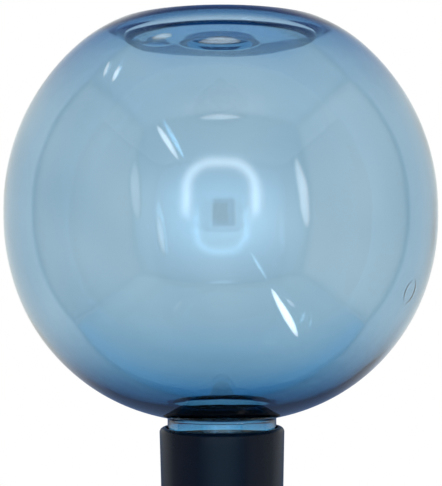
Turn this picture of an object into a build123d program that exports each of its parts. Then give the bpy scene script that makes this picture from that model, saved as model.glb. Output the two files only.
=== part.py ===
from build123d import *
import math
import os

# Lengths are in millimetres and angles in degrees.
# Heights run from the soil line, where the plain shank meets its flare.

# Globe, outside
globe_radius = 54.0
equator_band = 1.95
shoulder_radius = 36.2
shoulder_angle = 42.1
underside_radius = 48.8
underside_angle = 67.8
foot_ring_radius = 1.8
recess_radius = 24.4
recess_depth = 3.3
recess_corner = 1.2
floor_dish = 1.0
gate_boss_radius = 8.5
gate_boss_height = 1.6
gate_boss_slope = 0.8
pip_radius = 3.2
pip_height = 1.2
pip_offset = 16.0

# Globe, walls
equator_wall = 0.45
lower_thickening = 0.3
underside_wall = 2.0
ring_wall = 1.3
base_wall = 0.9
channel_radius = 3.0
channel_share = 0.65
push_up_corner = 2.6

# Neck and its thread
neck_length = 20.95
neck_bore_radius = 10.85
neck_bore_corner = 0.6
neck_entry_radius = 12.1
neck_belly_radius = 12.8
neck_belly_below_globe = 3.4
neck_root_radius = 12.45
neck_band_radius = 13.6
neck_band_length = 8.0
neck_band_slope = 1.2
thread_pitch = 3.18
thread_depth = 1.2
thread_base_width = 2.0
thread_crest_width = 0.9
thread_turns = 1.75
thread_start = 2.6
thread_clearance = 0.3

# Collar
collar_height = 31.4
collar_rim_radius = 15.6
collar_draft = 1.35
collar_edge = 1.2
collar_floor = 3.0
collar_lead_in = 0.15
collar_lead_in_height = 2.5
collar_thread_turns = 2.25
outlet_radius = 6.5

# Seal and strainer
seal_thickness = 1.6
seal_inner_radius = 7.5
seal_side_gap = 0.35
strainer_radius = 9.6
strainer_height = 2.0
strainer_opening = 7.6
strainer_side_gap = 0.2
mesh_thickness = 0.4
mesh_grip = 0.8
mesh_hole = 1.0
mesh_pitch = 1.5

# Stake
shank_radius = 8.0
shank_wall = 2.5
shank_plain_length = 45.0
shank_length = 100.0
shank_end_radius = 7.6
flare_height = 12.0
flare_lip = 1.5
spigot_depth = 8.4
spigot_gap = 0.1
skirt_wall = 2.7
snap_bead = 0.4
slot_count = 4
slot_width = 2.5
slot_length = 30.0
slot_above_end = 12.0
flute_radius = 2.0
flute_depth = 0.9

# Tip and foam
tip_length = 30.0
tip_nose = 1.5
tip_spigot_length = 10.0
tip_spigot_gap = 0.05
foam_length = 40.0
foam_gap = 0.1

# Levels and radii that follow
collar_rim = flare_height + collar_height
floor_under = flare_height + spigot_depth
floor_top = floor_under + collar_floor
lip_level = floor_top + seal_thickness
thread_level = lip_level + thread_start
junction_level = lip_level + neck_length
cup_radius = neck_root_radius + thread_depth + thread_clearance
collar_foot_radius = collar_rim_radius - collar_height * math.tan(math.radians(collar_draft))
skirt_radius = collar_foot_radius - skirt_wall
strainer_seat_radius = strainer_radius + strainer_side_gap
bore_radius = shank_radius - shank_wall
shank_end = -shank_length


def along(centre, radius, angle):
    turn = math.radians(angle)
    return (centre[0] + radius * math.sin(turn), centre[1] + radius * math.cos(turn))


def arc(centre, radius, start, end):
    middle = (start + end) / 2
    ends = [along(centre, radius, angle) for angle in (start, middle, end)]
    return ThreePointArc(*ends)


def outline(*steps):
    # Joins points by straight edges, and takes arcs as they come
    edges = []
    last = None
    for step in steps:
        first = Vector(*step) if isinstance(step, tuple) else step @ 0
        if last is not None and (first - last).length > 1e-6:
            edges.append(Line(last, first))
        if not isinstance(step, tuple):
            edges.append(step)
        last = first if isinstance(step, tuple) else step @ 1
    start = Vector(*steps[0]) if isinstance(steps[0], tuple) else steps[0] @ 0
    if (last - start).length > 1e-6:
        edges.append(Line(last, start))
    return make_face(edges)


def turned(*steps):
    return revolve(Plane.XZ * outline(*steps), Axis.Z)


def thread_ridge(radius, outward, turns):
    sink = thread_depth / 4
    path = Helix(pitch=thread_pitch, height=thread_pitch * turns, radius=radius)
    section = Polyline(
        (-outward * sink, -thread_base_width / 2),
        (0, -thread_base_width / 2),
        (outward * thread_depth, -thread_crest_width / 2),
        (outward * thread_depth, thread_crest_width / 2),
        (0, thread_base_width / 2),
        (-outward * sink, thread_base_width / 2),
        close=True,
    )
    start = Plane(origin=path @ 0, x_dir=(1, 0, 0), z_dir=path % 0)
    ridge = sweep(start * make_face(section), path=path, is_frenet=True)
    return Pos(0, 0, thread_level) * ridge


def nested_radius(outer_radius, sphere_step, angle, wall):
    # Radius of the inner arc that keeps the given wall at the pole
    share = math.cos(math.radians(angle))
    return outer_radius + (sphere_step * share - wall) / (1 - share)


def make_globe():
    # Outer arcs, from the neck up to the foot ring
    low_angle = 180 - underside_angle
    under_x = (globe_radius - underside_radius) * math.sin(math.radians(underside_angle))
    under_rise = math.sqrt(underside_radius**2 - (neck_band_radius - under_x) ** 2)
    under_lift = (globe_radius - underside_radius) * math.cos(math.radians(underside_angle))
    under_centre = (under_x, junction_level + under_rise)
    low_centre = (0, under_centre[1] + under_lift)
    high_centre = (0, low_centre[1] + equator_band)
    shoulder_centre = along(high_centre, globe_radius - shoulder_radius, shoulder_angle)
    ring_reach = shoulder_radius - foot_ring_radius
    ring_x = recess_radius + foot_ring_radius
    ring_angle = math.degrees(math.asin((ring_x - shoulder_centre[0]) / ring_reach))
    ring_centre = along(shoulder_centre, ring_reach, ring_angle)
    recess_level = ring_centre[1] + foot_ring_radius - recess_depth
    neck_angle = math.degrees(math.atan2(neck_band_radius - under_x, -under_rise))
    band_start = junction_level - neck_band_length
    boss_wall_radius = gate_boss_radius + base_wall / 2
    boss_foot = recess_level - floor_dish
    floor_edge = recess_radius - recess_corner
    corner_centre = (floor_edge, recess_level + recess_corner)
    pip_dip = floor_dish * (floor_edge - pip_offset) / (floor_edge - boss_wall_radius)
    pip_foot = recess_level - pip_dip - base_wall / 2

    # Inner arcs, thin at the equator and thick at the neck and the base
    inner_radius = globe_radius - equator_wall
    inner_low_radius = inner_radius - lower_thickening
    inner_low = (lower_thickening, low_centre[1])
    low_step = equator_wall + lower_thickening
    inner_under = nested_radius(underside_radius, low_step, underside_angle, underside_wall)
    inner_under_centre = along(inner_low, inner_low_radius - inner_under, low_angle)
    bore_corner_x = neck_entry_radius + neck_bore_corner
    bore_corner_side = bore_corner_x - inner_under_centre[0]
    bore_corner_drop = math.sqrt((inner_under + neck_bore_corner) ** 2 - bore_corner_side**2)
    bore_corner_centre = (bore_corner_x, inner_under_centre[1] - bore_corner_drop)
    bore_corner_angle = math.degrees(math.atan2(-bore_corner_side, bore_corner_drop))
    inner_shoulder = nested_radius(shoulder_radius, equator_wall, shoulder_angle, ring_wall)
    inner_shoulder_centre = along(high_centre, inner_radius - inner_shoulder, shoulder_angle)
    channel_x = recess_radius + base_wall + channel_radius * channel_share
    channel_reach = inner_shoulder - channel_radius
    channel_angle = math.degrees(math.asin((channel_x - inner_shoulder_centre[0]) / channel_reach))
    channel_centre = along(inner_shoulder_centre, channel_reach, channel_angle)
    inner_floor = recess_level - base_wall
    push_up_level = inner_floor + push_up_corner
    push_up_rise = push_up_level - channel_centre[1]
    push_up_side = math.sqrt((channel_radius + push_up_corner) ** 2 - push_up_rise**2)
    push_up_centre = (channel_centre[0] - push_up_side, push_up_level)
    push_up_angle = math.degrees(math.atan2(-push_up_side, push_up_rise))

    body = turned(
        (neck_bore_radius, lip_level),
        (neck_root_radius, lip_level),
        (neck_root_radius, band_start - neck_band_slope),
        (neck_band_radius, band_start),
        arc(under_centre, underside_radius, neck_angle, low_angle),
        arc(low_centre, globe_radius, low_angle, 90),
        arc(high_centre, globe_radius, 90, shoulder_angle),
        arc(shoulder_centre, shoulder_radius, shoulder_angle, ring_angle),
        arc(ring_centre, foot_ring_radius, ring_angle, -90),
        arc(corner_centre, recess_corner, 90, 180),
        (boss_wall_radius, boss_foot),
        (boss_wall_radius - gate_boss_slope, boss_foot + gate_boss_height),
        (0, boss_foot + gate_boss_height),
        (0, boss_foot + gate_boss_height - base_wall),
        (gate_boss_radius - gate_boss_slope, boss_foot + gate_boss_height - base_wall),
        (gate_boss_radius, boss_foot - base_wall),
        arc(push_up_centre, push_up_corner, 180, 180 + push_up_angle),
        arc(channel_centre, channel_radius, push_up_angle, channel_angle),
        arc(inner_shoulder_centre, inner_shoulder, channel_angle, shoulder_angle),
        arc(high_centre, inner_radius, shoulder_angle, 90),
        arc(inner_low, inner_low_radius, 90, low_angle),
        arc(inner_under_centre, inner_under, low_angle, 180 + bore_corner_angle),
        arc(bore_corner_centre, neck_bore_corner, bore_corner_angle, -90),
        (neck_belly_radius, junction_level - neck_belly_below_globe),
        (neck_bore_radius, band_start),
    )
    pip = Pos(-pip_offset, 0, pip_foot) * Cylinder(
        pip_radius, base_wall / 2 + pip_height, align=(Align.CENTER, Align.CENTER, Align.MIN)
    )
    return body + pip + thread_ridge(neck_root_radius, 1, thread_turns)


def make_collar():
    edge_centre = (collar_rim_radius - collar_edge, collar_rim - collar_edge)
    bead_level = flare_height + spigot_depth / 2
    groove = skirt_radius + snap_bead
    shell = turned(
        (skirt_radius, flare_height),
        (collar_foot_radius, flare_height),
        (collar_rim_radius, collar_rim - collar_edge),
        arc(edge_centre, collar_edge, 90, 0),
        (cup_radius + collar_lead_in, collar_rim),
        (cup_radius, collar_rim - collar_lead_in_height),
        (cup_radius, floor_top),
        (strainer_seat_radius, floor_top),
        (strainer_seat_radius, floor_top - strainer_height),
        (outlet_radius, floor_top - strainer_height),
        (outlet_radius, floor_under),
        (skirt_radius, floor_under),
        (skirt_radius, bead_level + 2 * snap_bead),
        (groove, bead_level + snap_bead),
        (groove, bead_level - snap_bead),
        (skirt_radius, bead_level - 2 * snap_bead),
    )
    ridge = thread_ridge(cup_radius, -1, collar_thread_turns)
    return shell + Rot(0, 0, 180) * ridge


def make_seal():
    outer = cup_radius - thread_depth - seal_side_gap
    return turned(
        (seal_inner_radius, floor_top),
        (outer, floor_top),
        (outer, lip_level),
        (seal_inner_radius, lip_level),
    )


def make_strainer_ring():
    seat = floor_top - strainer_height
    groove = strainer_opening + mesh_grip
    mesh_bottom = seat + (strainer_height - mesh_thickness) / 2
    return turned(
        (strainer_opening, seat),
        (strainer_radius, seat),
        (strainer_radius, floor_top),
        (strainer_opening, floor_top),
        (strainer_opening, mesh_bottom + mesh_thickness),
        (groove, mesh_bottom + mesh_thickness),
        (groove, mesh_bottom),
        (strainer_opening, mesh_bottom),
    )


def make_strainer_mesh():
    mesh_bottom = floor_top - (strainer_height + mesh_thickness) / 2
    count = int(2 * strainer_opening / mesh_pitch)
    reach = strainer_opening - mesh_hole * math.sqrt(0.5)
    grid = GridLocations(mesh_pitch, mesh_pitch, count, count)
    places = [place for place in grid if place.position.length < reach]
    holes = [place * Rectangle(mesh_hole, mesh_hole) for place in places]
    sheet = Circle(strainer_opening + mesh_grip) - holes
    return extrude(Pos(0, 0, mesh_bottom) * sheet, mesh_thickness)


def make_shank():
    spigot_radius = skirt_radius - spigot_gap
    bead_level = flare_height + spigot_depth / 2
    bead = spigot_radius + snap_bead
    flare_top = flare_height - flare_lip
    flare_reach = collar_foot_radius - shank_radius
    flare_radius = (flare_reach**2 + flare_top**2) / (2 * flare_reach)
    flare_centre = (shank_radius + flare_radius, 0)
    flare_angle = -math.degrees(math.acos(flare_top / flare_radius))
    inner_flare = flare_radius + shank_wall
    inner_angle = -math.degrees(math.acos(flare_top / inner_flare))
    throat = along(flare_centre, inner_flare, inner_angle)[0]
    shell = turned(
        (bore_radius, shank_end),
        (shank_end_radius, shank_end),
        (shank_radius, -shank_plain_length),
        arc(flare_centre, flare_radius, -90, flare_angle),
        (collar_foot_radius, flare_height),
        (spigot_radius, flare_height),
        (spigot_radius, bead_level - 2 * snap_bead),
        (bead, bead_level - snap_bead),
        (bead, bead_level + snap_bead),
        (spigot_radius, bead_level + 2 * snap_bead),
        (spigot_radius, floor_under),
        (throat, floor_under),
        arc(flare_centre, inner_flare, inner_angle, -90),
    )
    slot_level = shank_end + slot_above_end + slot_length / 2
    slot_plane = Plane(origin=(0, 0, slot_level), x_dir=(0, 0, 1), z_dir=(1, 0, 0))
    slot = extrude(slot_plane * SlotOverall(slot_length, slot_width), shank_radius + slot_width)
    flute_length = shank_length - shank_plain_length - flute_radius
    flute_rod = Cylinder(
        flute_radius, flute_length, align=(Align.CENTER, Align.CENTER, Align.MIN)
    )
    flute_end = Pos(0, 0, flute_length) * Sphere(flute_radius)
    flute_x = shank_radius + flute_radius - flute_depth
    flute = Pos(flute_x, 0, shank_end) * (flute_rod + flute_end)
    half_step = 180 / slot_count
    cuts = []
    for place in PolarLocations(0, slot_count):
        cuts.append(place * slot)
        cuts.append(place * Rot(0, 0, half_step) * flute)
    return shell - cuts


def make_tip():
    spigot = bore_radius - tip_spigot_gap
    nose_centre = (0, shank_end - tip_length + tip_nose)
    rise = shank_end - nose_centre[1]
    seen = math.atan2(shank_end_radius, rise)
    opening = math.acos(tip_nose / math.hypot(shank_end_radius, rise))
    touch = math.degrees(seen + opening)
    return turned(
        (0, shank_end + tip_spigot_length),
        (spigot, shank_end + tip_spigot_length),
        (spigot, shank_end),
        (shank_end_radius, shank_end),
        arc(nose_centre, tip_nose, touch, 180),
    )


def make_foam():
    bottom = shank_end + tip_spigot_length
    plug = Cylinder(
        bore_radius - foam_gap, foam_length, align=(Align.CENTER, Align.CENTER, Align.MIN)
    )
    return Pos(0, 0, bottom) * plug


os.makedirs("parts", exist_ok=True)
pieces = {
    "globe": make_globe(),
    "mouth_seal": make_seal(),
    "screw_collar": make_collar(),
    "strainer_ring": make_strainer_ring(),
    "strainer_mesh": make_strainer_mesh(),
    "stake_shank": make_shank(),
    "filter_foam": make_foam(),
    "stake_tip": make_tip(),
}
for name, piece in pieces.items():
    export_step(piece, f"parts/{name}.step")
    print(name, round(piece.volume, 1))
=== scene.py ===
import bpy
import bmesh
import math
import numpy as np
from mathutils import Matrix, Vector, noise


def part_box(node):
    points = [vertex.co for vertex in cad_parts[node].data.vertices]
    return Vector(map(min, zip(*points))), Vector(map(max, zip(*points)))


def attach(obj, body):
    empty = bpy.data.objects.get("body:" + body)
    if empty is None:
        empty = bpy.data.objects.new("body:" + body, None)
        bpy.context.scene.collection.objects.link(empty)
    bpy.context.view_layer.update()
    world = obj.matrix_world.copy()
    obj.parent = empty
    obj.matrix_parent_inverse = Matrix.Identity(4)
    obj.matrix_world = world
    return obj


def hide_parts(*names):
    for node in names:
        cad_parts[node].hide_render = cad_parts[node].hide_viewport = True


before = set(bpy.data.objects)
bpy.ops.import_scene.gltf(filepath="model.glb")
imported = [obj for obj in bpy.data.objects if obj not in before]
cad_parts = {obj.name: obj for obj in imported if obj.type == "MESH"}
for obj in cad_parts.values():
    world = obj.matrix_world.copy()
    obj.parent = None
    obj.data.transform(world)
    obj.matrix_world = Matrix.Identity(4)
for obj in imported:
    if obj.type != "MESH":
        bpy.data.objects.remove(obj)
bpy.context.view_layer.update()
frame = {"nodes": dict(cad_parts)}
mm = 0.001  # sizes below are in millimetres
print("frame loaded with nodes", ", ".join(frame["nodes"]))


def toLinear(hexColour):
    channels = [int(hexColour[i:i + 2], 16) / 255 for i in (1, 3, 5)]
    return [c / 12.92 if c <= 0.04045 else ((c + 0.055) / 1.055) ** 2.4 for c in channels] + [1.0]


def addNode(tree, kind, inputs=None, **settings):
    node = tree.nodes.new(kind)
    for key, value in settings.items():
        setattr(node, key, value)
    for key, value in (inputs or {}).items():
        if isinstance(value, bpy.types.NodeSocket):
            tree.links.new(value, node.inputs[key])
        else:
            node.inputs[key].default_value = value
    return node


def newMaterial(name):
    material = bpy.data.materials.new(name)
    material.use_nodes = True
    tree = material.node_tree
    tree.nodes.clear()
    output = addNode(tree, "ShaderNodeOutputMaterial")
    coords = addNode(tree, "ShaderNodeTexCoord")
    return material, tree, output, coords.outputs["Object"]


# PET, blow-moulded and clear: polished faces with a slow ripple, and a blue tint that
# deepens with the wall, pale at the thin equator and navy in the thick base and neck
bluePetLook = dict(
    ior=1.575, roughLow=0.004, roughHigh=0.03, tint="#51b4d3", density=1330.0,
    rippleSize=13.0, rippleHeight=0.045, smearSize=30.0, smearSpan=(0.35, 0.75),
    neckTint="#c8f2ff", neckLevels=(44.5, 46.5),
    markPlace=(43.5, -25.0, 77.3), markRadius=2.7, markWidth=0.9, markHeight=0.035,
)


def makeBluePet(look):
    material, tree, output, coords = newMaterial("bluePet")
    ripple = addNode(tree, "ShaderNodeTexNoise", {
        "Vector": coords, "Scale": 1 / (look["rippleSize"] * mm), "Detail": 2.0, "Roughness": 0.4})
    rippleHeight = addNode(tree, "ShaderNodeMath", {
        0: ripple.outputs["Fac"], 1: look["rippleHeight"] * mm}, operation="MULTIPLY")
    # plain moulded ring low on the right side
    away = addNode(tree, "ShaderNodeVectorMath", {
        0: coords, 1: [value * mm for value in look["markPlace"]]}, operation="DISTANCE")
    offRing = addNode(tree, "ShaderNodeMath", {
        0: away.outputs["Value"], 1: look["markRadius"] * mm}, operation="SUBTRACT")
    ringSide = addNode(tree, "ShaderNodeMath", {0: offRing.outputs[0]}, operation="ABSOLUTE")
    ringHeight = addNode(tree, "ShaderNodeMapRange", {
        "Value": ringSide.outputs[0], "From Min": 0.0, "From Max": look["markWidth"] * mm,
        "To Min": look["markHeight"] * mm, "To Max": 0.0}, interpolation_type="SMOOTHSTEP")
    height = addNode(tree, "ShaderNodeMath", {
        0: rippleHeight.outputs[0], 1: ringHeight.outputs["Result"]}, operation="ADD")
    bump = addNode(tree, "ShaderNodeBump", {
        "Height": height.outputs[0], "Strength": 1.0, "Distance": 1.0})
    smear = addNode(tree, "ShaderNodeTexNoise", {
        "Vector": coords, "Scale": 1 / (look["smearSize"] * mm), "Detail": 4.0})
    smearStart, smearEnd = look["smearSpan"]
    rough = addNode(tree, "ShaderNodeMapRange", {
        "Value": smear.outputs["Fac"], "From Min": smearStart, "From Max": smearEnd,
        "To Min": look["roughLow"], "To Max": look["roughHigh"]})
    # the neck isn't blown out thin, so its blue is stronger
    place = addNode(tree, "ShaderNodeSeparateXYZ", {"Vector": coords})
    neckEnd, blownStart = (level * mm for level in look["neckLevels"])
    blown = addNode(tree, "ShaderNodeMapRange", {
        "Value": place.outputs["Z"], "From Min": neckEnd, "From Max": blownStart})
    colour = addNode(tree, "ShaderNodeMix", {
        "Factor": blown.outputs["Result"], "A": toLinear(look["neckTint"]),
        "B": (1.0, 1.0, 1.0, 1.0)}, data_type="RGBA")
    shader = addNode(tree, "ShaderNodeBsdfPrincipled", {
        "Base Color": colour.outputs["Result"], "Roughness": rough.outputs["Result"],
        "IOR": look["ior"], "Transmission Weight": 1.0, "Normal": bump.outputs["Normal"]})
    tint = addNode(tree, "ShaderNodeVolumeAbsorption", {
        "Color": toLinear(look["tint"]), "Density": look["density"]})
    tree.links.new(shader.outputs["BSDF"], output.inputs["Surface"])
    tree.links.new(tint.outputs["Volume"], output.inputs["Volume"])
    return material


# Polypropylene, moulded in a finely blasted mould: near-black satin with a cold cast,
# rubbed a little shinier in broad patches and greyed by fine scuffs
# (the mould's own grain is finer, and is drawn coarser here so that it shows)
blackPpLook = dict(
    colour="#041326", scuff="#1a2434", ior=1.49, gloss=0.13, roughLow=0.2, roughHigh=0.32,
    grainSize=0.28, grainHeight=0.003, patchSize=18.0, patchSpan=(0.3, 0.7),
    scuffSize=2.2, scuffSpan=(0.6, 0.8), scuffMost=0.35,
)


def makeBlackPp(look):
    material, tree, output, coords = newMaterial("blackPolypropylene")
    grain = addNode(tree, "ShaderNodeTexNoise", {
        "Vector": coords, "Scale": 1 / (look["grainSize"] * mm), "Detail": 3.0})
    grainHeight = addNode(tree, "ShaderNodeMath", {
        0: grain.outputs["Fac"], 1: look["grainHeight"] * mm}, operation="MULTIPLY")
    bump = addNode(tree, "ShaderNodeBump", {
        "Height": grainHeight.outputs[0], "Strength": 1.0, "Distance": 1.0})
    patch = addNode(tree, "ShaderNodeTexNoise", {
        "Vector": coords, "Scale": 1 / (look["patchSize"] * mm), "Detail": 5.0})
    patchStart, patchEnd = look["patchSpan"]
    rough = addNode(tree, "ShaderNodeMapRange", {
        "Value": patch.outputs["Fac"], "From Min": patchStart, "From Max": patchEnd,
        "To Min": look["roughLow"], "To Max": look["roughHigh"]})
    scuff = addNode(tree, "ShaderNodeTexNoise", {
        "Vector": coords, "Scale": 1 / (look["scuffSize"] * mm), "Detail": 8.0, "Roughness": 0.7})
    scuffStart, scuffEnd = look["scuffSpan"]
    scuffShare = addNode(tree, "ShaderNodeMapRange", {
        "Value": scuff.outputs["Fac"], "From Min": scuffStart, "From Max": scuffEnd,
        "To Max": look["scuffMost"]})
    colour = addNode(tree, "ShaderNodeMix", {
        "Factor": scuffShare.outputs["Result"], "A": toLinear(look["colour"]),
        "B": toLinear(look["scuff"])}, data_type="RGBA")
    shader = addNode(tree, "ShaderNodeBsdfPrincipled", {
        "Base Color": colour.outputs["Result"], "Roughness": rough.outputs["Result"],
        "IOR": look["ior"], "Specular IOR Level": look["gloss"], "Normal": bump.outputs["Normal"]})
    tree.links.new(shader.outputs["BSDF"], output.inputs["Surface"])
    return material


# Silicone, press-moulded: milky and soft, dull where dust clings, with light carried
# a few millimetres inside
siliconeLook = dict(
    colour="#e6e8e6", stain="#c9ccc8", ior=1.41, roughLow=0.4, roughHigh=0.6, roughSpan=(0.3, 0.7),
    stainSize=1.6, stainDetail=6.0, stainRoughness=0.65, stainSpan=(0.45, 0.75),
    skinSize=0.5, skinHeight=0.006, milk=0.5, depth=2.5,
)
# Nylon, injection-moulded or drawn into thread: off-white and waxy, yellowed in broad
# patches, with a faintly uneven skin
nylonLook = dict(
    colour="#e9e6dc", stain="#d8d2bf", ior=1.53, roughLow=0.32, roughHigh=0.5, roughSpan=(0.3, 0.7),
    stainSize=5.0, stainDetail=4.0, stainRoughness=0.5, stainSpan=(0.4, 0.7),
    skinSize=0.35, skinHeight=0.004, milk=0.25, depth=1.2,
)


def makeMilkyPlastic(name, look):
    material, tree, output, coords = newMaterial(name)
    stain = addNode(tree, "ShaderNodeTexNoise", {
        "Vector": coords, "Scale": 1 / (look["stainSize"] * mm), "Detail": look["stainDetail"],
        "Roughness": look["stainRoughness"]})
    stainStart, stainEnd = look["stainSpan"]
    stainShare = addNode(tree, "ShaderNodeMapRange", {
        "Value": stain.outputs["Fac"], "From Min": stainStart, "From Max": stainEnd})
    colour = addNode(tree, "ShaderNodeMix", {
        "Factor": stainShare.outputs["Result"], "A": toLinear(look["colour"]),
        "B": toLinear(look["stain"])}, data_type="RGBA")
    roughStart, roughEnd = look["roughSpan"]
    rough = addNode(tree, "ShaderNodeMapRange", {
        "Value": stain.outputs["Fac"], "From Min": roughStart, "From Max": roughEnd,
        "To Min": look["roughLow"], "To Max": look["roughHigh"]})
    skin = addNode(tree, "ShaderNodeTexNoise", {
        "Vector": coords, "Scale": 1 / (look["skinSize"] * mm), "Detail": 2.0})
    skinHeight = addNode(tree, "ShaderNodeMath", {
        0: skin.outputs["Fac"], 1: look["skinHeight"] * mm}, operation="MULTIPLY")
    bump = addNode(tree, "ShaderNodeBump", {
        "Height": skinHeight.outputs[0], "Strength": 1.0, "Distance": 1.0})
    shader = addNode(tree, "ShaderNodeBsdfPrincipled", {
        "Base Color": colour.outputs["Result"], "Roughness": rough.outputs["Result"],
        "IOR": look["ior"], "Subsurface Weight": look["milk"],
        "Subsurface Scale": look["depth"] * mm, "Subsurface Radius": (1.0, 1.0, 1.0),
        "Normal": bump.outputs["Normal"]})
    tree.links.new(shader.outputs["BSDF"], output.inputs["Surface"])
    return material


# Polyurethane foam, open-celled and cut from block: charcoal struts round pores, with painted shade
# darkening each pore where the bump sinks it
foamLook = dict(
    strut="#34353a", shadedPore="#0d0d0f", cellSize=0.9, poreSpan=(0.2, 0.55), poreDepth=0.18,
    rough=0.85, sheen=0.25,
)


def makeFoamMaterial(look):
    material, tree, output, coords = newMaterial("openCellFoam")
    cells = addNode(tree, "ShaderNodeTexVoronoi", {
        "Vector": coords, "Scale": 1 / (look["cellSize"] * mm)}, feature="F1")
    poreStart, poreEnd = look["poreSpan"]
    cellDepth = addNode(tree, "ShaderNodeMapRange", {
        "Value": cells.outputs["Distance"], "From Min": poreStart, "From Max": poreEnd})
    # painted shade: the dark pore colour follows the cell depth, so the sunken middles are darkened
    colour = addNode(tree, "ShaderNodeMix", {
        "Factor": cellDepth.outputs["Result"], "A": toLinear(look["shadedPore"]),
        "B": toLinear(look["strut"])}, data_type="RGBA")
    cellHeight = addNode(tree, "ShaderNodeMath", {
        0: cellDepth.outputs["Result"], 1: look["poreDepth"] * mm}, operation="MULTIPLY")
    bump = addNode(tree, "ShaderNodeBump", {
        "Height": cellHeight.outputs[0], "Strength": 1.0, "Distance": 1.0})
    shader = addNode(tree, "ShaderNodeBsdfPrincipled", {
        "Base Color": colour.outputs["Result"], "Roughness": look["rough"],
        "Sheen Weight": look["sheen"], "Normal": bump.outputs["Normal"]})
    tree.links.new(shader.outputs["BSDF"], output.inputs["Surface"])
    return material


def arcPoints(centre, radius, start, end, step):
    count = max(2, int(abs(math.radians(end - start)) * radius / step) + 1)
    angles = np.radians(np.linspace(start, end, count + 1))
    return [(centre[0] + radius * math.sin(a), centre[1] + radius * math.cos(a)) for a in angles]


def linePoints(start, end, step):
    count = max(1, int(math.dist(start, end) / step))
    return [tuple(p) for p in np.linspace(start, end, count + 1)]


def joinRuns(*runs):
    points = []
    for run in runs:
        for point in run:
            if not points or math.dist(point, points[-1]) > 1e-4:  # runs share their ends
                points.append(point)
    return points


def threadRidge(angle, level, thread):
    # height of a helical ridge over its root, for a point at this angle and level
    turn = (angle - thread["startAngle"]) / (2 * math.pi)
    height = np.zeros(np.shape(level))
    for lap in range(-1, math.ceil(thread["turns"]) + 1):
        along = np.mod(turn, 1.0) + lap
        off = np.abs(level - thread["level"] - thread["pitch"] * along)
        slope = (thread["base"] - thread["crest"]) / 2
        ridge = np.clip((thread["base"] / 2 - off) / slope, 0, 1)
        ends = np.clip(np.minimum(along, thread["turns"] - along) / thread["fade"], 0, 1)
        height = np.maximum(height, thread["depth"] * ridge * ends)
    return height


def addPiece(name, mesh, material=None):
    piece = bpy.data.objects.new(name, mesh)
    bpy.context.collection.objects.link(piece)
    if material:
        mesh.materials.append(material)
    return piece


def standFor(piece, node, body):
    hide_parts(node)
    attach(piece, body)
    print(piece.name, "stands for", node, len(piece.data.polygons), "faces")


def gridPlaces(radius, level, angle):
    return np.stack([radius * np.cos(angle), radius * np.sin(angle), level], axis=-1)


def revolved(name, rings, segments, shape=None, closed=True):
    radius = np.array([p[0] for p in rings])[:, None]
    level = np.array([p[1] for p in rings])[:, None]
    angle = np.linspace(0, 2 * math.pi, segments, endpoint=False)[None, :]
    radius, level, angle = np.broadcast_arrays(radius, level, angle)
    if shape:
        radius, level = shape(radius, level, angle)
    grid = gridPlaces(radius, level, angle) * mm
    mesh = bpy.data.meshes.new(name)
    build = bmesh.new()
    rows = []
    for ring, row in zip(rings, grid):
        if ring[0] < 1e-6:  # a pole on the axis
            rows.append([build.verts.new(row[0])] * segments)
        else:
            rows.append([build.verts.new(p) for p in row])
    pairs = list(zip(rows, rows[1:] + rows[:1])) if closed else list(zip(rows, rows[1:]))
    for low, high in pairs:
        for i in range(segments):
            j = (i + 1) % segments
            corners = [low[i], low[j], high[j], high[i]]
            kept = [v for k, v in enumerate(corners) if v not in corners[:k]]
            if len(kept) > 2:
                build.faces.new(kept)
    bmesh.ops.recalc_face_normals(build, faces=build.faces)
    build.to_mesh(mesh)
    build.free()
    mesh.shade_smooth()
    return mesh


# The blow-moulded globe: arcs from the neck up to the foot ring, then back inside
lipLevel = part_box("globe")[0][2] / mm
globeForm = dict(
    radius=54.0, band=1.95, shoulderRadius=36.2, shoulderAngle=42.1,
    undersideRadius=48.8, undersideAngle=67.8, footRing=1.8,
    recessRadius=24.4, recessDepth=3.3, recessCorner=1.2, dish=1.0,
    bossRadius=8.5, bossHeight=1.6, bossSlope=1.4,
    pipRadius=3.2, pipHeight=1.2, pipSlope=1.0, pipOffset=16.0,
    equatorWall=0.45, lowerThickening=0.15, undersideWall=1.8, baseWall=0.75, ringWall=1.3,
    channel=3.0, channelShare=0.65, pushUpCorner=2.6, floorRings=70, innerFloorRings=60,
    neckLength=20.95, boreRadius=10.85, bellyRadius=13.1, bellyBelowGlobe=3.4,
    entryRadius=12.5, boreCorner=0.6, rootRadius=12.45,
    bandRadius=13.6, bandLength=8.0, bandSlope=1.2, neckCorner=0.8, lipRound=0.4,
    waveSize=17.0, waveHeight=0.12, waveStart=3.0, waveFade=10.0, segments=160,
)
neckThread = dict(
    level=lipLevel + 2.6, startAngle=0.0, pitch=3.18, turns=1.75,
    depth=1.2, base=2.0, crest=0.9, fade=0.06,
)


def smoothStep(value):
    share = np.clip(value, 0, 1)
    return share * share * (3 - 2 * share)


def nestedRadius(outer, step, angle, wall):
    # radius of the inner arc that keeps the given wall at the pole
    share = math.cos(math.radians(angle))
    return outer + (step * share - wall) / (1 - share)


def pointAt(centre, radius, angle):
    turn = math.radians(angle)
    return (centre[0] + radius * math.sin(turn), centre[1] + radius * math.cos(turn))


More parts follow.
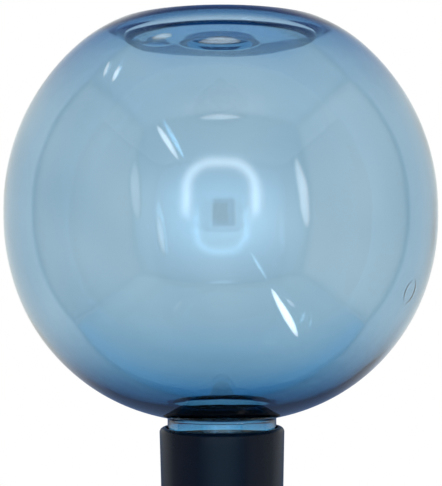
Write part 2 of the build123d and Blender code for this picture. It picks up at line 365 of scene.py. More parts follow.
def globePlaces(form):
    # the given sizes, with the centres, angles and levels that outside and inside share
    junction = lipLevel + form["neckLength"]
    underTurn = math.radians(form["undersideAngle"])
    underShift = form["radius"] - form["undersideRadius"]
    underX = underShift * math.sin(underTurn)
    underRise = math.sqrt(form["undersideRadius"] ** 2 - (form["bandRadius"] - underX) ** 2)
    underCentre = (underX, junction + underRise)
    lowCentre = (0, underCentre[1] + underShift * math.cos(underTurn))
    highCentre = (0, lowCentre[1] + form["band"])
    shoulderReach = form["radius"] - form["shoulderRadius"]
    shoulderCentre = pointAt(highCentre, shoulderReach, form["shoulderAngle"])
    ringReach = form["shoulderRadius"] - form["footRing"]
    ringX = form["recessRadius"] + form["footRing"]
    ringAngle = math.degrees(math.asin((ringX - shoulderCentre[0]) / ringReach))
    ringCentre = pointAt(shoulderCentre, ringReach, ringAngle)
    bandStart = junction - form["bandLength"]
    return dict(
        form, junction=junction, lowAngle=180 - form["undersideAngle"], underCentre=underCentre,
        lowCentre=lowCentre, highCentre=highCentre, shoulderCentre=shoulderCentre,
        ringAngle=ringAngle, ringCentre=ringCentre,
        bandStart=bandStart, threadTop=bandStart - form["bandSlope"],
        recessLevel=ringCentre[1] + form["footRing"] - form["recessDepth"],
        floorEdge=form["recessRadius"] - form["recessCorner"],
    )


def globeOutside(form):
    floorEdge, recessLevel = form["floorEdge"], form["recessLevel"]
    cornerCentre = (floorEdge, recessLevel + form["recessCorner"])
    bossEdge = form["bossRadius"] + form["bossSlope"]

    def floorLevel(r):
        dish = form["dish"] * (1 - r / floorEdge)
        boss = form["bossHeight"] * smoothStep((bossEdge - r) / form["bossSlope"])
        return recessLevel - dish + boss

    # small fillet where the neck meets the underside
    fillet, underCentre, underRadius = form["neckCorner"], form["underCentre"], form["undersideRadius"]
    filletX = form["bandRadius"] + fillet
    filletSide = filletX - underCentre[0]
    filletDrop = math.sqrt((underRadius + fillet) ** 2 - filletSide ** 2)
    filletCentre = (filletX, underCentre[1] - filletDrop)
    filletAngle = math.degrees(math.atan2(-filletSide, filletDrop))
    lip, root, neck = form["lipRound"], form["rootRadius"], form["bandRadius"]
    lowAngle, shoulderAngle, ringAngle = form["lowAngle"], form["shoulderAngle"], form["ringAngle"]
    return joinRuns(
        arcPoints((form["boreRadius"] + lip, lipLevel + lip), lip, -90, -180, step=0.15),
        arcPoints((root - lip, lipLevel + lip), lip, 180, 90, step=0.15),
        linePoints((root, lipLevel + lip), (root, form["threadTop"]), step=0.16),
        linePoints((root, form["threadTop"]), (neck, form["bandStart"]), step=0.3),
        linePoints((neck, form["bandStart"]), (neck, filletCentre[1]), step=0.8),
        arcPoints(filletCentre, fillet, -90, filletAngle, step=0.12),
        arcPoints(underCentre, underRadius, 180 + filletAngle, lowAngle, step=0.9),
        arcPoints(form["lowCentre"], form["radius"], lowAngle, 90, step=1.2),
        arcPoints(form["highCentre"], form["radius"], 90, shoulderAngle, step=1.2),
        arcPoints(form["shoulderCentre"], form["shoulderRadius"], shoulderAngle, ringAngle, step=0.8),
        arcPoints(form["ringCentre"], form["footRing"], ringAngle, -90, step=0.2),
        arcPoints(cornerCentre, form["recessCorner"], 90, 180, step=0.2),
        [(r, floorLevel(r)) for r in np.linspace(floorEdge, 0, form["floorRings"])],
    )


def globeInside(form):
    # thin at the equator and above it, thicker towards the neck and in the base
    highRadius = form["radius"] - form["equatorWall"]
    lowRadius = highRadius - form["lowerThickening"]
    lowCentre = (form["lowerThickening"], form["lowCentre"][1])
    lowWall = form["equatorWall"] + form["lowerThickening"]
    lowAngle, shoulderAngle = form["lowAngle"], form["shoulderAngle"]
    underRadius = nestedRadius(
        form["undersideRadius"], lowWall, form["undersideAngle"], form["undersideWall"])
    underCentre = pointAt(lowCentre, lowRadius - underRadius, lowAngle)
    entryX = form["entryRadius"] + form["boreCorner"]
    entryAngle = 180 - math.degrees(math.asin((entryX - underCentre[0]) / underRadius))
    entryLevel = pointAt(underCentre, underRadius, entryAngle)[1]
    entryCentre = (entryX, entryLevel - form["boreCorner"])
    shoulderRadius = nestedRadius(
        form["shoulderRadius"], form["equatorWall"], shoulderAngle, form["ringWall"])
    shoulderCentre = pointAt(form["highCentre"], highRadius - shoulderRadius, shoulderAngle)
    # the channel round the base, then the push-up inside it
    channel, push = form["channel"], form["pushUpCorner"]
    channelX = form["recessRadius"] + form["baseWall"] + channel * form["channelShare"]
    channelReach = shoulderRadius - channel
    channelAngle = math.degrees(math.asin((channelX - shoulderCentre[0]) / channelReach))
    channelCentre = pointAt(shoulderCentre, channelReach, channelAngle)
    floor = form["recessLevel"] - form["baseWall"]
    pushRise = floor + push - channelCentre[1]
    pushSide = math.sqrt((channel + push) ** 2 - pushRise ** 2)
    pushCentre = (channelCentre[0] - pushSide, floor + push)
    pushAngle = math.degrees(math.atan2(-pushSide, pushRise))

    def floorLevel(r):
        dish = form["dish"] * (1 - r / pushCentre[0])
        boss = form["bossHeight"] * smoothStep((form["bossRadius"] - r) / form["bossSlope"])
        return floor - dish + boss

    belly = (form["bellyRadius"], form["junction"] - form["bellyBelowGlobe"])
    boreTop = (form["boreRadius"], form["bandStart"])
    boreEnd = (form["boreRadius"], lipLevel + form["lipRound"])
    return joinRuns(
        [(r, floorLevel(r)) for r in np.linspace(0, pushCentre[0], form["innerFloorRings"])],
        arcPoints(pushCentre, push, 180, 180 + pushAngle, step=0.25),
        arcPoints(channelCentre, channel, pushAngle, channelAngle, step=0.25),
        arcPoints(shoulderCentre, shoulderRadius, channelAngle, shoulderAngle, step=0.8),
        arcPoints(form["highCentre"], highRadius, shoulderAngle, 90, step=1.2),
        arcPoints(lowCentre, lowRadius, 90, lowAngle, step=1.2),
        arcPoints(underCentre, underRadius, lowAngle, entryAngle, step=0.9),
        arcPoints(entryCentre, form["boreCorner"], 0, -90, step=0.25),
        linePoints((form["entryRadius"], entryCentre[1]), belly, step=0.5),
        linePoints(belly, boreTop, step=0.8),
        linePoints(boreTop, boreEnd, step=1.2),
    )


def makeGlobe(form, thread):
    form = globePlaces(form)
    outside, inside = globeOutside(form), globeInside(form)
    outer = slice(0, len(outside))
    rings = outside + inside[:-1]

    def shape(radius, level, angle):
        radius, level = radius.copy(), level.copy()
        # the thread on the outside of the neck
        onNeck = radius[outer] > (form["boreRadius"] + form["rootRadius"]) / 2
        inThread = (level[outer] > lipLevel + form["lipRound"]) & (level[outer] < form["threadTop"])
        ridge = threadRidge(angle[outer], level[outer], thread)
        radius[outer] += np.where(onNeck & inThread, ridge, 0)
        # the pip on the recessed floor
        onFloor = (level[outer] > form["highCentre"][1]) & (radius[outer] < form["floorEdge"])
        across, deep = radius[outer] * np.cos(angle[outer]), radius[outer] * np.sin(angle[outer])
        fromPip = np.hypot(across + form["pipOffset"], deep)
        pip = form["pipHeight"] * smoothStep((form["pipRadius"] - fromPip) / form["pipSlope"])
        level[outer] += np.where(onFloor, pip, 0)
        # blown walls are never quite even: slow waves inwards, other ones on the inner face,
        # fading out at neck and base
        places = gridPlaces(radius, level, angle)
        places[len(outside):] += form["waveSize"] / 2
        wave = [noise.noise(Vector(p) / form["waveSize"]) for p in places.reshape(-1, 3)]
        wave = form["waveHeight"] * (np.array(wave).reshape(radius.shape) - 1) / 2
        fromEnds = np.minimum(level - form["junction"], form["recessLevel"] - level)
        return radius + wave * smoothStep((fromEnds - form["waveStart"]) / form["waveFade"]), level

    print("globe rings", len(rings), "recess level", round(form["recessLevel"], 2))
    return revolved("globeShell", rings, form["segments"], shape)


globeShell = addPiece("globeShell", makeGlobe(globeForm, neckThread), makeBluePet(bluePetLook))
standFor(globeShell, "globe", "globe")

# The collar: a drafted cup with a rounded rim, the stake's socket under its floor
blackPp = makeBlackPp(blackPpLook)
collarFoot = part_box("screw_collar")[0][2] / mm
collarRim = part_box("screw_collar")[1][2] / mm
collarForm = dict(
    rimRadius=15.6, draft=1.35, edge=1.2, footEdge=0.3, leadIn=0.15, leadInHeight=2.5,
    cupRadius=13.95, floorTop=23.4, floorThickness=3.0, outletRadius=6.5,
    seatRadius=9.8, seatDepth=2.0, skirtWall=2.7, bead=0.4, threadClear=0.2,
    sharpAngle=40.0, segments=192,
)
collarThread = dict(neckThread, startAngle=math.pi, turns=2.25)


def makeCollar(form, thread):
    drop = (collarRim - collarFoot) * math.tan(math.radians(form["draft"]))
    footRadius = form["rimRadius"] - drop
    skirt = footRadius - form["skirtWall"]
    groove = skirt + form["bead"]
    floorUnder = form["floorTop"] - form["floorThickness"]
    beadLevel = (collarFoot + floorUnder) / 2
    edge, footEdge, cup = form["edge"], form["footEdge"], form["cupRadius"]
    rimCentre = (form["rimRadius"] - edge, collarRim - edge)
    seat = form["floorTop"] - form["seatDepth"]
    cupTop = (cup, collarRim - form["leadInHeight"])
    rings = joinRuns(
        linePoints((skirt, collarFoot), (footRadius - footEdge, collarFoot), step=0.8),
        arcPoints((footRadius - footEdge, collarFoot + footEdge), footEdge, 180, 90, step=0.1),
        linePoints((footRadius, collarFoot + footEdge), (form["rimRadius"], collarRim - edge), step=2.0),
        arcPoints(rimCentre, edge, 90, 0, step=0.15),
        linePoints((rimCentre[0], collarRim), (cup + form["leadIn"], collarRim), step=0.2),
        linePoints((cup + form["leadIn"], collarRim), cupTop, step=0.5),
        linePoints(cupTop, (cup, form["floorTop"]), step=0.16),
        linePoints((cup, form["floorTop"]), (form["seatRadius"], form["floorTop"]), step=1.0),
        linePoints((form["seatRadius"], form["floorTop"]), (form["seatRadius"], seat), step=0.5),
        linePoints((form["seatRadius"], seat), (form["outletRadius"], seat), step=0.8),
        linePoints((form["outletRadius"], seat), (form["outletRadius"], floorUnder), step=0.5),
        linePoints((form["outletRadius"], floorUnder), (skirt, floorUnder), step=1.0),
        [(skirt, beadLevel + 2 * form["bead"]), (groove, beadLevel + form["bead"])],
        [(groove, beadLevel - form["bead"]), (skirt, beadLevel - 2 * form["bead"])],
    )

    def shape(radius, level, angle):
        onCup = np.isclose(radius, cup) & (level > form["floorTop"] + form["threadClear"])
        ridge = threadRidge(angle, level, thread)
        return radius - np.where(onCup, ridge, 0), level

    return revolved("collarCup", rings, form["segments"], shape)


collarCup = addPiece("collarCup", makeCollar(collarForm, collarThread), blackPp)
collarCup.data.set_sharp_from_angle(angle=math.radians(collarForm["sharpAngle"]))
standFor(collarCup, "screw_collar", "stake")


def roundedRing(name, node, form):
    low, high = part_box(node)
    bottom, top, outer = low[2] / mm + form["clear"], high[2] / mm, high[0] / mm
    edge, inner = form["edge"], form["innerRadius"]
    rings = joinRuns(
        arcPoints((inner + edge, bottom + edge), edge, -90, -180, step=0.1),
        linePoints((inner + edge, bottom), (outer - edge, bottom), step=0.8),
        arcPoints((outer - edge, bottom + edge), edge, 180, 90, step=0.1),
        arcPoints((outer - edge, top - edge), edge, 90, 0, step=0.1),
        linePoints((outer - edge, top), (inner + edge, top), step=0.8),
        arcPoints((inner + edge, top - edge), edge, 0, -90, step=0.1),
    )
    return revolved(name, rings, form["segments"])


# The washer between the neck's lip and the collar's floor
sealForm = dict(innerRadius=7.5, edge=0.35, clear=0.02, segments=128)
sealMesh = roundedRing("lipWasher", "mouth_seal", sealForm)
lipWasher = addPiece("lipWasher", sealMesh, makeMilkyPlastic("milkySilicone", siliconeLook))
standFor(lipWasher, "mouth_seal", "seal")

# The strainer's ring under the washer
strainerForm = dict(innerRadius=7.6, edge=0.25, clear=0.0, segments=128)
strainerMesh = roundedRing("strainerRim", "strainer_ring", strainerForm)
strainerRim = addPiece("strainerRim", strainerMesh, makeMilkyPlastic("mouldedNylon", nylonLook))
standFor(strainerRim, "strainer_ring", "stake")

# The strainer's cloth: two sets of threads in a plain weave, cut round
weaveForm = dict(Reach=8.3, Pitch=0.75, Thread=0.2, Wave=0.1, Count=22, Steps=96)


def weaveHeight(tree, along, across, pitch, wave):
    # over and under in turn: half a wave for each thread that is crossed
    swings = []
    for place in (along, across):
        turn = addNode(tree, "ShaderNodeMath", {0: place, 1: pitch}, operation="DIVIDE")
        angle = addNode(tree, "ShaderNodeMath", {0: turn.outputs[0], 1: math.pi}, operation="MULTIPLY")
        swings.append(addNode(tree, "ShaderNodeMath", {0: angle.outputs[0]}, operation="SINE"))
    share = addNode(tree, "ShaderNodeMath", {
        0: swings[0].outputs[0], 1: swings[1].outputs[0]}, operation="MULTIPLY")
    height = addNode(tree, "ShaderNodeMath", {0: share.outputs[0], 1: wave}, operation="MULTIPLY")
    return addNode(tree, "ShaderNodeCombineXYZ", {"Z": height.outputs[0]}).outputs["Vector"]


def makeWeaveTree(material):
    tree = bpy.data.node_groups.new("wovenThreads", "GeometryNodeTree")
    sockets = (("Reach", "Float"), ("Pitch", "Float"), ("Thread", "Float"), ("Wave", "Float"),
               ("Level", "Float"), ("Count", "Int"), ("Steps", "Int"))
    for name, kind in sockets:
        tree.interface.new_socket(name, in_out="INPUT", socket_type="NodeSocket" + kind)
    tree.interface.new_socket("Geometry", in_out="OUTPUT", socket_type="NodeSocketGeometry")
    given = addNode(tree, "NodeGroupInput").outputs
    gaps = addNode(tree, "ShaderNodeMath", {0: given["Count"], 1: 1.0}, operation="SUBTRACT")
    width = addNode(tree, "ShaderNodeMath", {
        0: gaps.outputs[0], 1: given["Pitch"]}, operation="MULTIPLY")
    start = addNode(tree, "ShaderNodeMath", {0: width.outputs[0], 1: -0.5}, operation="MULTIPLY")
    first = addNode(tree, "ShaderNodeCombineXYZ", {"X": start.outputs[0]})
    step = addNode(tree, "ShaderNodeCombineXYZ", {"X": given["Pitch"]})
    row = addNode(tree, "GeometryNodeMeshLine", {
        "Count": given["Count"], "Start Location": first.outputs[0], "Offset": step.outputs[0]})
    # each thread is as long as the round cut leaves it at its place in the row
    position = addNode(tree, "GeometryNodeInputPosition")
    place = addNode(tree, "ShaderNodeSeparateXYZ", {0: position.outputs[0]})
    across = addNode(tree, "ShaderNodeMath", {0: place.outputs["X"], 1: 2.0}, operation="POWER")
    reach = addNode(tree, "ShaderNodeMath", {0: given["Reach"], 1: 2.0}, operation="POWER")
    chord = addNode(tree, "ShaderNodeMath", {
        0: reach.outputs[0], 1: across.outputs[0]}, operation="SUBTRACT")
    half = addNode(tree, "ShaderNodeMath", {0: chord.outputs[0]}, operation="SQRT")
    stretch = addNode(tree, "ShaderNodeCombineXYZ", {"X": 1.0, "Y": half.outputs[0], "Z": 1.0})
    line = addNode(tree, "GeometryNodeCurvePrimitiveLine", {"Start": (0, -1, 0), "End": (0, 1, 0)})
    fine = addNode(tree, "GeometryNodeResampleCurve", {
        "Curve": line.outputs[0], "Count": given["Steps"]})
    copies = addNode(tree, "GeometryNodeInstanceOnPoints", {
        "Points": row.outputs[0], "Instance": fine.outputs[0], "Scale": stretch.outputs[0]})
    warp = addNode(tree, "GeometryNodeRealizeInstances", {"Geometry": copies.outputs[0]})
    weft = addNode(tree, "GeometryNodeTransform", {
        "Geometry": warp.outputs[0], "Rotation": (0.0, 0.0, math.pi / 2)})
    under = addNode(tree, "ShaderNodeMath", {0: given["Wave"], 1: -1.0}, operation="MULTIPLY")
    radius = addNode(tree, "ShaderNodeMath", {0: given["Thread"], 1: 0.5}, operation="MULTIPLY")
    profile = addNode(tree, "GeometryNodeCurvePrimitiveCircle", {
        "Resolution": 6, "Radius": radius.outputs[0]}, mode="RADIUS")
    sets = addNode(tree, "GeometryNodeJoinGeometry")
    for threads, wave in ((warp, given["Wave"]), (weft, under.outputs[0])):
        height = weaveHeight(tree, place.outputs["Y"], place.outputs["X"], given["Pitch"], wave)
        waved = addNode(tree, "GeometryNodeSetPosition", {
            "Geometry": threads.outputs[0], "Offset": height})
        tubes = addNode(tree, "GeometryNodeCurveToMesh", {
            "Curve": waved.outputs[0], "Profile Curve": profile.outputs[0], "Fill Caps": True})
        tree.links.new(tubes.outputs[0], sets.inputs[0])
    level = addNode(tree, "ShaderNodeCombineXYZ", {"Z": given["Level"]})
    raised = addNode(tree, "GeometryNodeTransform", {
        "Geometry": sets.outputs[0], "Translation": level.outputs[0]})
    real = addNode(tree, "GeometryNodeRealizeInstances", {"Geometry": raised.outputs[0]})
    dressed = addNode(tree, "GeometryNodeSetMaterial", {
        "Geometry": real.outputs[0], "Material": material})
    addNode(tree, "NodeGroupOutput", {"Geometry": dressed.outputs[0]})
    return tree


def makeWeave(form, material):
    piece = addPiece("wovenStrainer", bpy.data.meshes.new("wovenStrainer"))
    low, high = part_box("strainer_mesh")
    values = dict(form, Level=(low[2] + high[2]) / 2)
    for name in ("Reach", "Pitch", "Thread", "Wave"):
        values[name] *= mm
    weave = piece.modifiers.new("weave", "NODES")
    weave.node_group = makeWeaveTree(material)
    for socket in weave.node_group.interface.items_tree:
        if socket.in_out == "INPUT":
            weave[socket.identifier] = values[socket.name]
    evaluated = piece.evaluated_get(bpy.context.evaluated_depsgraph_get())
    woven = bpy.data.meshes.new_from_object(evaluated)
    piece.modifiers.remove(weave)
    piece.data = woven
    woven.shade_smooth()
    return piece


wovenStrainer = makeWeave(weaveForm, makeMilkyPlastic("nylonThread", nylonLook))
standFor(wovenStrainer, "strainer_mesh", "stake")

# The foam plug in the shank: a cylinder pitted all over by its open cells
foamForm = dict(cell=1.3, pit=0.45, softness=0.5, step=0.22, segments=160)


def makeFoam(form):
    low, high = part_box("filter_foam")
    bottom, top, reach = low[2] / mm, high[2] / mm, high[0] / mm
    rings = joinRuns(
        linePoints((0, bottom), (reach, bottom), form["step"]),
        linePoints((reach, bottom), (reach, top), form["step"]),
        linePoints((reach, top), (0, top), form["step"]),
    )

    def shape(radius, level, angle):
        places = gridPlaces(radius, level, angle) / form["cell"]
        nearest = np.array([noise.voronoi(Vector(p))[0][:2] for p in places.reshape(-1, 3)])
        wall = (nearest[:, 1] - nearest[:, 0]).reshape(radius.shape)
        pit = form["pit"] * smoothStep(wall / form["softness"])
        onSide = np.isclose(radius, reach)
        onCap = np.isclose(level, top) | np.isclose(level, bottom)
        inward = np.where(level > (bottom + top) / 2, -1, 1)
        return radius - np.where(onSide, pit, 0), level + np.where(onCap, pit * inward, 0)

    return revolved("foamPlug", rings, form["segments"], shape, closed=False)


foamPlug = addPiece("foamPlug", makeFoam(foamForm), makeFoamMaterial(foamLook))
standFor(foamPlug, "filter_foam", "stake")

for nodeName in ("stake_shank", "stake_tip"):
    node = frame["nodes"][nodeName]
    node.data.materials.clear()
    node.data.materials.append(blackPp)

# Stage: pale floor at the stake's point, white surround, soft lights
stageForm = dict(
    floorRadius=420.0, floorSegments=96, floorColour="#f2f2f0", floorRough=0.7, fill=0.85,
)
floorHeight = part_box("stake_tip")[0][2]
floorMesh = bpy.data.meshes.new("floor")
floorBuild = bmesh.new()
bmesh.ops.create_circle(floorBuild, cap_ends=True, segments=stageForm["floorSegments"],
                        radius=stageForm["floorRadius"] * mm)
bmesh.ops.translate(floorBuild, verts=floorBuild.verts, vec=(0, 0, floorHeight))
floorBuild.to_mesh(floorMesh)
floorBuild.free()
floorMaterial, floorTree, floorOutput, _ = newMaterial("paleFloor")
floorShader = addNode(floorTree, "ShaderNodeBsdfPrincipled", {
    "Base Color": toLinear(stageForm["floorColour"]), "Roughness": stageForm["floorRough"],
    "Specular IOR Level": 0.0})
floorTree.links.new(floorShader.outputs["BSDF"], floorOutput.inputs["Surface"])
floor = addPiece("floor", floorMesh, floorMaterial)
floor.visible_glossy = False

# white wherever it is looked at, reflected or seen through, and a little less as light
world = bpy.data.worlds.new("whiteSurround")
bpy.context.scene.world = world
world.use_nodes = True
worldTree = world.node_tree
worldTree.nodes.clear()
worldOutput = addNode(worldTree, "ShaderNodeOutputWorld")
rays = addNode(worldTree, "ShaderNodeLightPath")
seenRays = addNode(worldTree, "ShaderNodeMath", {
    0: rays.outputs["Is Camera Ray"], 1: rays.outputs["Is Transmission Ray"]}, operation="MAXIMUM")
whiteRays = addNode(worldTree, "ShaderNodeMath", {
    0: seenRays.outputs[0], 1: rays.outputs["Is Glossy Ray"]}, operation="MAXIMUM")
worldLevel = addNode(worldTree, "ShaderNodeMix", {
    "Factor": whiteRays.outputs[0], "A": stageForm["fill"], "B": 1.0})
white = addNode(worldTree, "ShaderNodeBackground", {
    "Color": (1.0, 1.0, 1.0, 1.0), "Strength": worldLevel.outputs["Result"]})
worldTree.links.new(white.outputs[0], worldOutput.inputs["Surface"])

# The light tent, seen only in reflections: what shines straight through stays white
glowMaterial, glowTree, glowOutput, _ = newMaterial("tentLight")
glowColour = addNode(glowTree, "ShaderNodeAttribute", attribute_name="glow")
glowRays = addNode(glowTree, "ShaderNodeLightPath")
reflected = addNode(glowTree, "ShaderNodeMath", {
    0: glowRays.outputs["Glossy Depth"], 1: 0.5}, operation="GREATER_THAN")
glowMix = addNode(glowTree, "ShaderNodeMix", {
    "Factor": reflected.outputs[0], "A": (1.0, 1.0, 1.0, 1.0), "B": glowColour.outputs["Color"]},
    data_type="RGBA")
glowShader = addNode(glowTree, "ShaderNodeEmission", {
    "Color": glowMix.outputs["Result"], "Strength": 1.0})
glowTree.links.new(glowShader.outputs[0], glowOutput.inputs["Surface"])
glowMaterial.cycles.emission_sampling = "NONE"
globeMiddle = Vector((0, 0, 97.0))  # the light bands face it


def addGlow(name, points, faces, glow):
    mesh = bpy.data.meshes.new(name)
    mesh.from_pydata([Vector(point) * mm for point in points], [], faces)
    colours = np.column_stack([np.array(glow), np.ones(len(points))])
    mesh.attributes.new("glow", "FLOAT_COLOR", "POINT").data.foreach_set("color", colours.ravel())
    light = addPiece(name, mesh, glowMaterial)
    light.visible_camera = light.visible_diffuse = light.visible_shadow = False


def gridFaces(rows, columns, first=0):
    faces = []
    for i in range(rows - 1):
        for j in range(columns - 1):
            corner = first + i * columns + j
            faces.append((corner, corner + 1, corner + columns + 1, corner + columns))
    return faces


tentForm = dict(
    halfWidth=300.0, front=-333.0, back=70.0, floor=-131.0, ceiling=405.0, step=10.0, frontStep=4.0,
    frontLevel=0.3, frontTint="#c4e9ff", seamWidth=20.0, seamShade=0.6,
    halo=2.8, haloLevel=60.0, haloWidth=230.0, haloHeight=130.0, roomShare=0.55,
    mouthHalf=(84.0, 80.0), mouthMiddle=120.0, mouthRound=62.0,
    rimLevel=3.6, rimWidth=17.0, rimFade=(60.0, 115.0),
    darkBox=(7.0, 85.0, 28.0, 27.0), darkLevel=0.02,
    backLit="#eef2f0", backAbove="#5a76b4", backBelow="#60769c", backTurn=(28.0, 62.0),
    backMiddle=(30.0, 90.0), backFade=(160.0, 235.0),
    leftHeights=((-131.0, "#a09c94"), (100.0, "#d4c8ba"), (300.0, "#d0ccc8")),
    rightHeights=((-131.0, "#e8e4d0"), (100.0, "#f6f0dc"), (300.0, "#e8e6e0")),
    ceilingDepths=((-310.0, "#ffffff"), (-225.0, "#ccd0d4"), (-131.0, "#a8b8c8"),
                   (-50.0, "#5b9af0"), (30.0, "#3f95ff")),
    ceilingSides="#b4c6d2", ceilingTurn=(90.0, 190.0),
    floorDepths=((-225.0, "#9cb4ac"), (-105.0, "#8cb4a8"), (-20.0, "#6894c0"), (30.0, "#20a0ff")),
)


def blend(value, stops):
    places = [place for place, colour in stops]
    colours = np.array([toLinear(colour)[:3] for place, colour in stops])
    return np.stack([np.interp(value, places, colours[:, k]) for k in range(3)], axis=-1)


def frontGlow(place, form):
    # a wide halo, dimmer inside the tent's rounded mouth, with a lit rim and one dark patch
    x, z = place[..., 0], place[..., 2]
    reachX = np.abs(x) - form["mouthHalf"][0] + form["mouthRound"]
    reachZ = np.abs(z - form["mouthMiddle"]) - form["mouthHalf"][1] + form["mouthRound"]
    outside = np.hypot(np.maximum(reachX, 0), np.maximum(reachZ, 0)) - form["mouthRound"]
    away = outside + np.minimum(np.maximum(reachX, reachZ), 0)
    across, up = x / form["haloWidth"], (z - form["haloLevel"]) / form["haloHeight"]
    halo = form["halo"] * np.exp(-across ** 2 - up ** 2)
    glow = form["frontLevel"] + halo * np.where(away > 0, 1.0, form["roomShare"])
    rim = np.exp(-((away - form["rimWidth"] / 2) / form["rimWidth"]) ** 2)
    low, high = form["rimFade"]
    rim = form["rimLevel"] * rim * smoothStep((z - low) / (high - low))
    boxX, boxZ, boxHalf, boxHeight = form["darkBox"]
    inBox = (np.abs(x - boxX) < boxHalf) & (np.abs(z - boxZ) < boxHeight)
    glow = np.where(inBox, form["darkLevel"], glow)
    return glow[..., None] * np.array(toLinear(form["frontTint"])[:3]) + rim[..., None]


def ceilingGlow(place, form):
    start, end = form["ceilingTurn"]
    share = smoothStep((np.abs(place[..., 0]) - start) / (end - start))[..., None]
    middle = blend(place[..., 1], form["ceilingDepths"])
    return middle * (1 - share) + np.array(toLinear(form["ceilingSides"])[:3]) * share


def backGlow(place, form):
    # lit at the sides, bluer above and below the globe's middle
    rise = place[..., 2] - globeMiddle.z
    turn = np.degrees(np.arctan2(np.abs(rise), np.abs(place[..., 0])))
    start, end = form["backTurn"]
    near, far = form["backMiddle"]
    low, high = form["backFade"]
    middle = smoothStep((far - np.abs(place[..., 0])) / (far - near)) * (rise > 0)
    fade = 1 - middle * (1 - smoothStep((place[..., 2] - low) / (high - low)))
    share = (smoothStep((turn - start) / (end - start)) * fade)[..., None]
    names = ("backAbove", "backBelow", "backLit")
    above, below, lit = (np.array(toLinear(form[name])[:3]) for name in names)
    return lit * (1 - share) + np.where(rise[..., None] > 0, above, below) * share


def makeTent(form):
    wide, front, low = form["halfWidth"], form["front"], form["floor"]
    width, depth, height = 2 * wide, form["back"] - front, form["ceiling"] - low
    walls = (
        ((-wide, front, low), (width, 0, 0), (0, 0, height), form["frontStep"],
         lambda place: frontGlow(place, form)),
        ((-wide, form["back"], low), (width, 0, 0), (0, 0, height), form["step"],
         lambda place: backGlow(place, form)),
        ((-wide, front, low), (0, depth, 0), (0, 0, height), form["step"],
         lambda place: blend(place[..., 2], form["leftHeights"])),
        ((wide, front, low), (0, depth, 0), (0, 0, height), form["step"],
         lambda place: blend(place[..., 2], form["rightHeights"])),
        ((-wide, front, form["ceiling"]), (width, 0, 0), (0, depth, 0), form["step"],
         lambda place: ceilingGlow(place, form)),
        ((-wide, front, low), (width, 0, 0), (0, depth, 0), form["step"],
         lambda place: blend(place[..., 1], form["floorDepths"])),
    )
    points, faces, glow = [], [], []
    for corner, across, up, step, wallGlow in walls:
        across, up = np.array(across), np.array(up)
        wallWidth, wallHeight = np.linalg.norm(across), np.linalg.norm(up)
        columns, rows = int(wallWidth / step) + 2, int(wallHeight / step) + 2
        u, v = np.meshgrid(np.linspace(0, 1, columns), np.linspace(0, 1, rows))
        place = np.array(corner) + u[..., None] * across + v[..., None] * up
        fromSeam = np.minimum(np.minimum(u, 1 - u) * wallWidth, np.minimum(v, 1 - v) * wallHeight)
        seam = 1 - form["seamShade"] * np.exp(-(fromSeam / form["seamWidth"]) ** 2)
        faces += gridFaces(rows, columns, len(points))
        points += [tuple(p) for p in place.reshape(-1, 3)]
        glow += list((wallGlow(place) * seam[..., None]).reshape(-1, 3))
    addGlow("lightTent", points, faces, glow)


# a light band is a spindle: widest and brightest in the middle, soft at the sides
bandForm = dict(
    steps=13, lanes=((-1.0, 0.0), (-0.45, 1.0), (0.45, 1.0), (1.0, 0.0)),
    swellPower=0.6, tipWidth=0.15, tipLevel=0.3,
)


def glowBand(name, ends, halfWidth, level, form):
    start, end = Vector(ends[0]), Vector(ends[1])
    tipWidth, tipLevel = form["tipWidth"], form["tipLevel"]
    points, glow = [], []
    for share in np.linspace(0, 1, form["steps"]):
        point = start.lerp(end, share)
        side = (end - start).cross(globeMiddle - point).normalized()
        swell = math.sin(math.pi * share) ** form["swellPower"]
        reach = halfWidth * (tipWidth + (1 - tipWidth) * swell)
        shine = level * (tipLevel + (1 - tipLevel) * swell)
        for offset, lane in form["lanes"]:
            points.append(point + side * offset * reach)
            glow.append([lane * shine] * 3)
    addGlow(name, points, gridFaces(form["steps"], len(form["lanes"])), glow)


makeTent(tentForm)
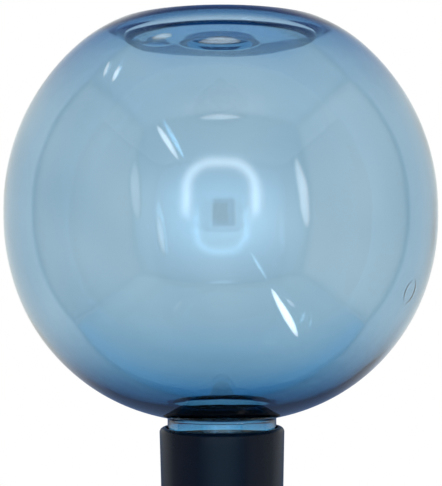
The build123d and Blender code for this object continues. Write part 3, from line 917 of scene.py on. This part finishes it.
# both ends of each band, its half width and its level
bands = dict(
    slashLight=(((110, -222, -72), (133, -78, -124)), 9.0, 12.0),
    dabLight=(((144, -196, -94), (159, -162, -110)), 6.0, 2.5),
    upperSlashLight=(((-141, -208, 276), (-99, -277, 201)), 8.0, 6.0),
    rightLight=(((171, -237, 201), (196, -238, 59)), 16.0, 4.0),
    leftLight=(((-194, -221, 194), (-190, -245, 80)), 16.0, 1.6),
    lowLeftLight=(((-147, -275, 90), (-134, -262, -8)), 11.0, 2.0),
    dashLight=(((-48, -236, 293), (49, -235, 293)), 9.0, 2.8),
    shoulderLight=(((-172, 37, 331), (-194, 1, 320)), 5.0, 4.0),
    shoulderTwinLight=(((-168, -1, 340), (-191, -36, 323)), 7.0, 5.0),
    glintLight=(((-111, -181, -124), (-87, -226, -97)), 6.0, 1.2),
    baseLight=(((-38, -36, 398), (38, -34, 398)), 17.0, 2.8),
    pipLight=(((-118, 42, 398), (-84, 16, 398)), 14.0, 2.4),
)
for bandName, (ends, halfWidth, level) in bands.items():
    glowBand(bandName, ends, halfWidth, level, bandForm)
print("stage done with", len(bands), "light bands")

# Camera: level with the lower globe, tilted up a little to frame it
cameraForm = dict(
    distance=337.5, height=80.42, sensor=36.0, focalPixels=1344.7, imageSize=(442, 486),
    horizonRow=278.2, roll=0.3,
)
camera = bpy.data.cameras.new("photoCamera")
camera.sensor_width = cameraForm["sensor"]
camera.lens = cameraForm["focalPixels"] / cameraForm["imageSize"][1] * camera.sensor_width
cameraObject = bpy.data.objects.new("photoCamera", camera)
middleRow = (cameraForm["imageSize"][1] - 1) / 2
tilt = math.atan((cameraForm["horizonRow"] - middleRow) / cameraForm["focalPixels"])
cameraObject.matrix_world = (
    Matrix.Translation((0, -cameraForm["distance"] * mm, cameraForm["height"] * mm))
    @ Matrix.Rotation(math.pi / 2 + tilt, 4, "X")
    @ Matrix.Rotation(math.radians(-cameraForm["roll"]), 4, "Z"))
bpy.context.collection.objects.link(cameraObject)
bpy.context.scene.camera = cameraObject
bpy.context.scene.view_settings.view_transform = "Standard"
print("camera set, tilt", round(math.degrees(tilt), 2), "degrees")
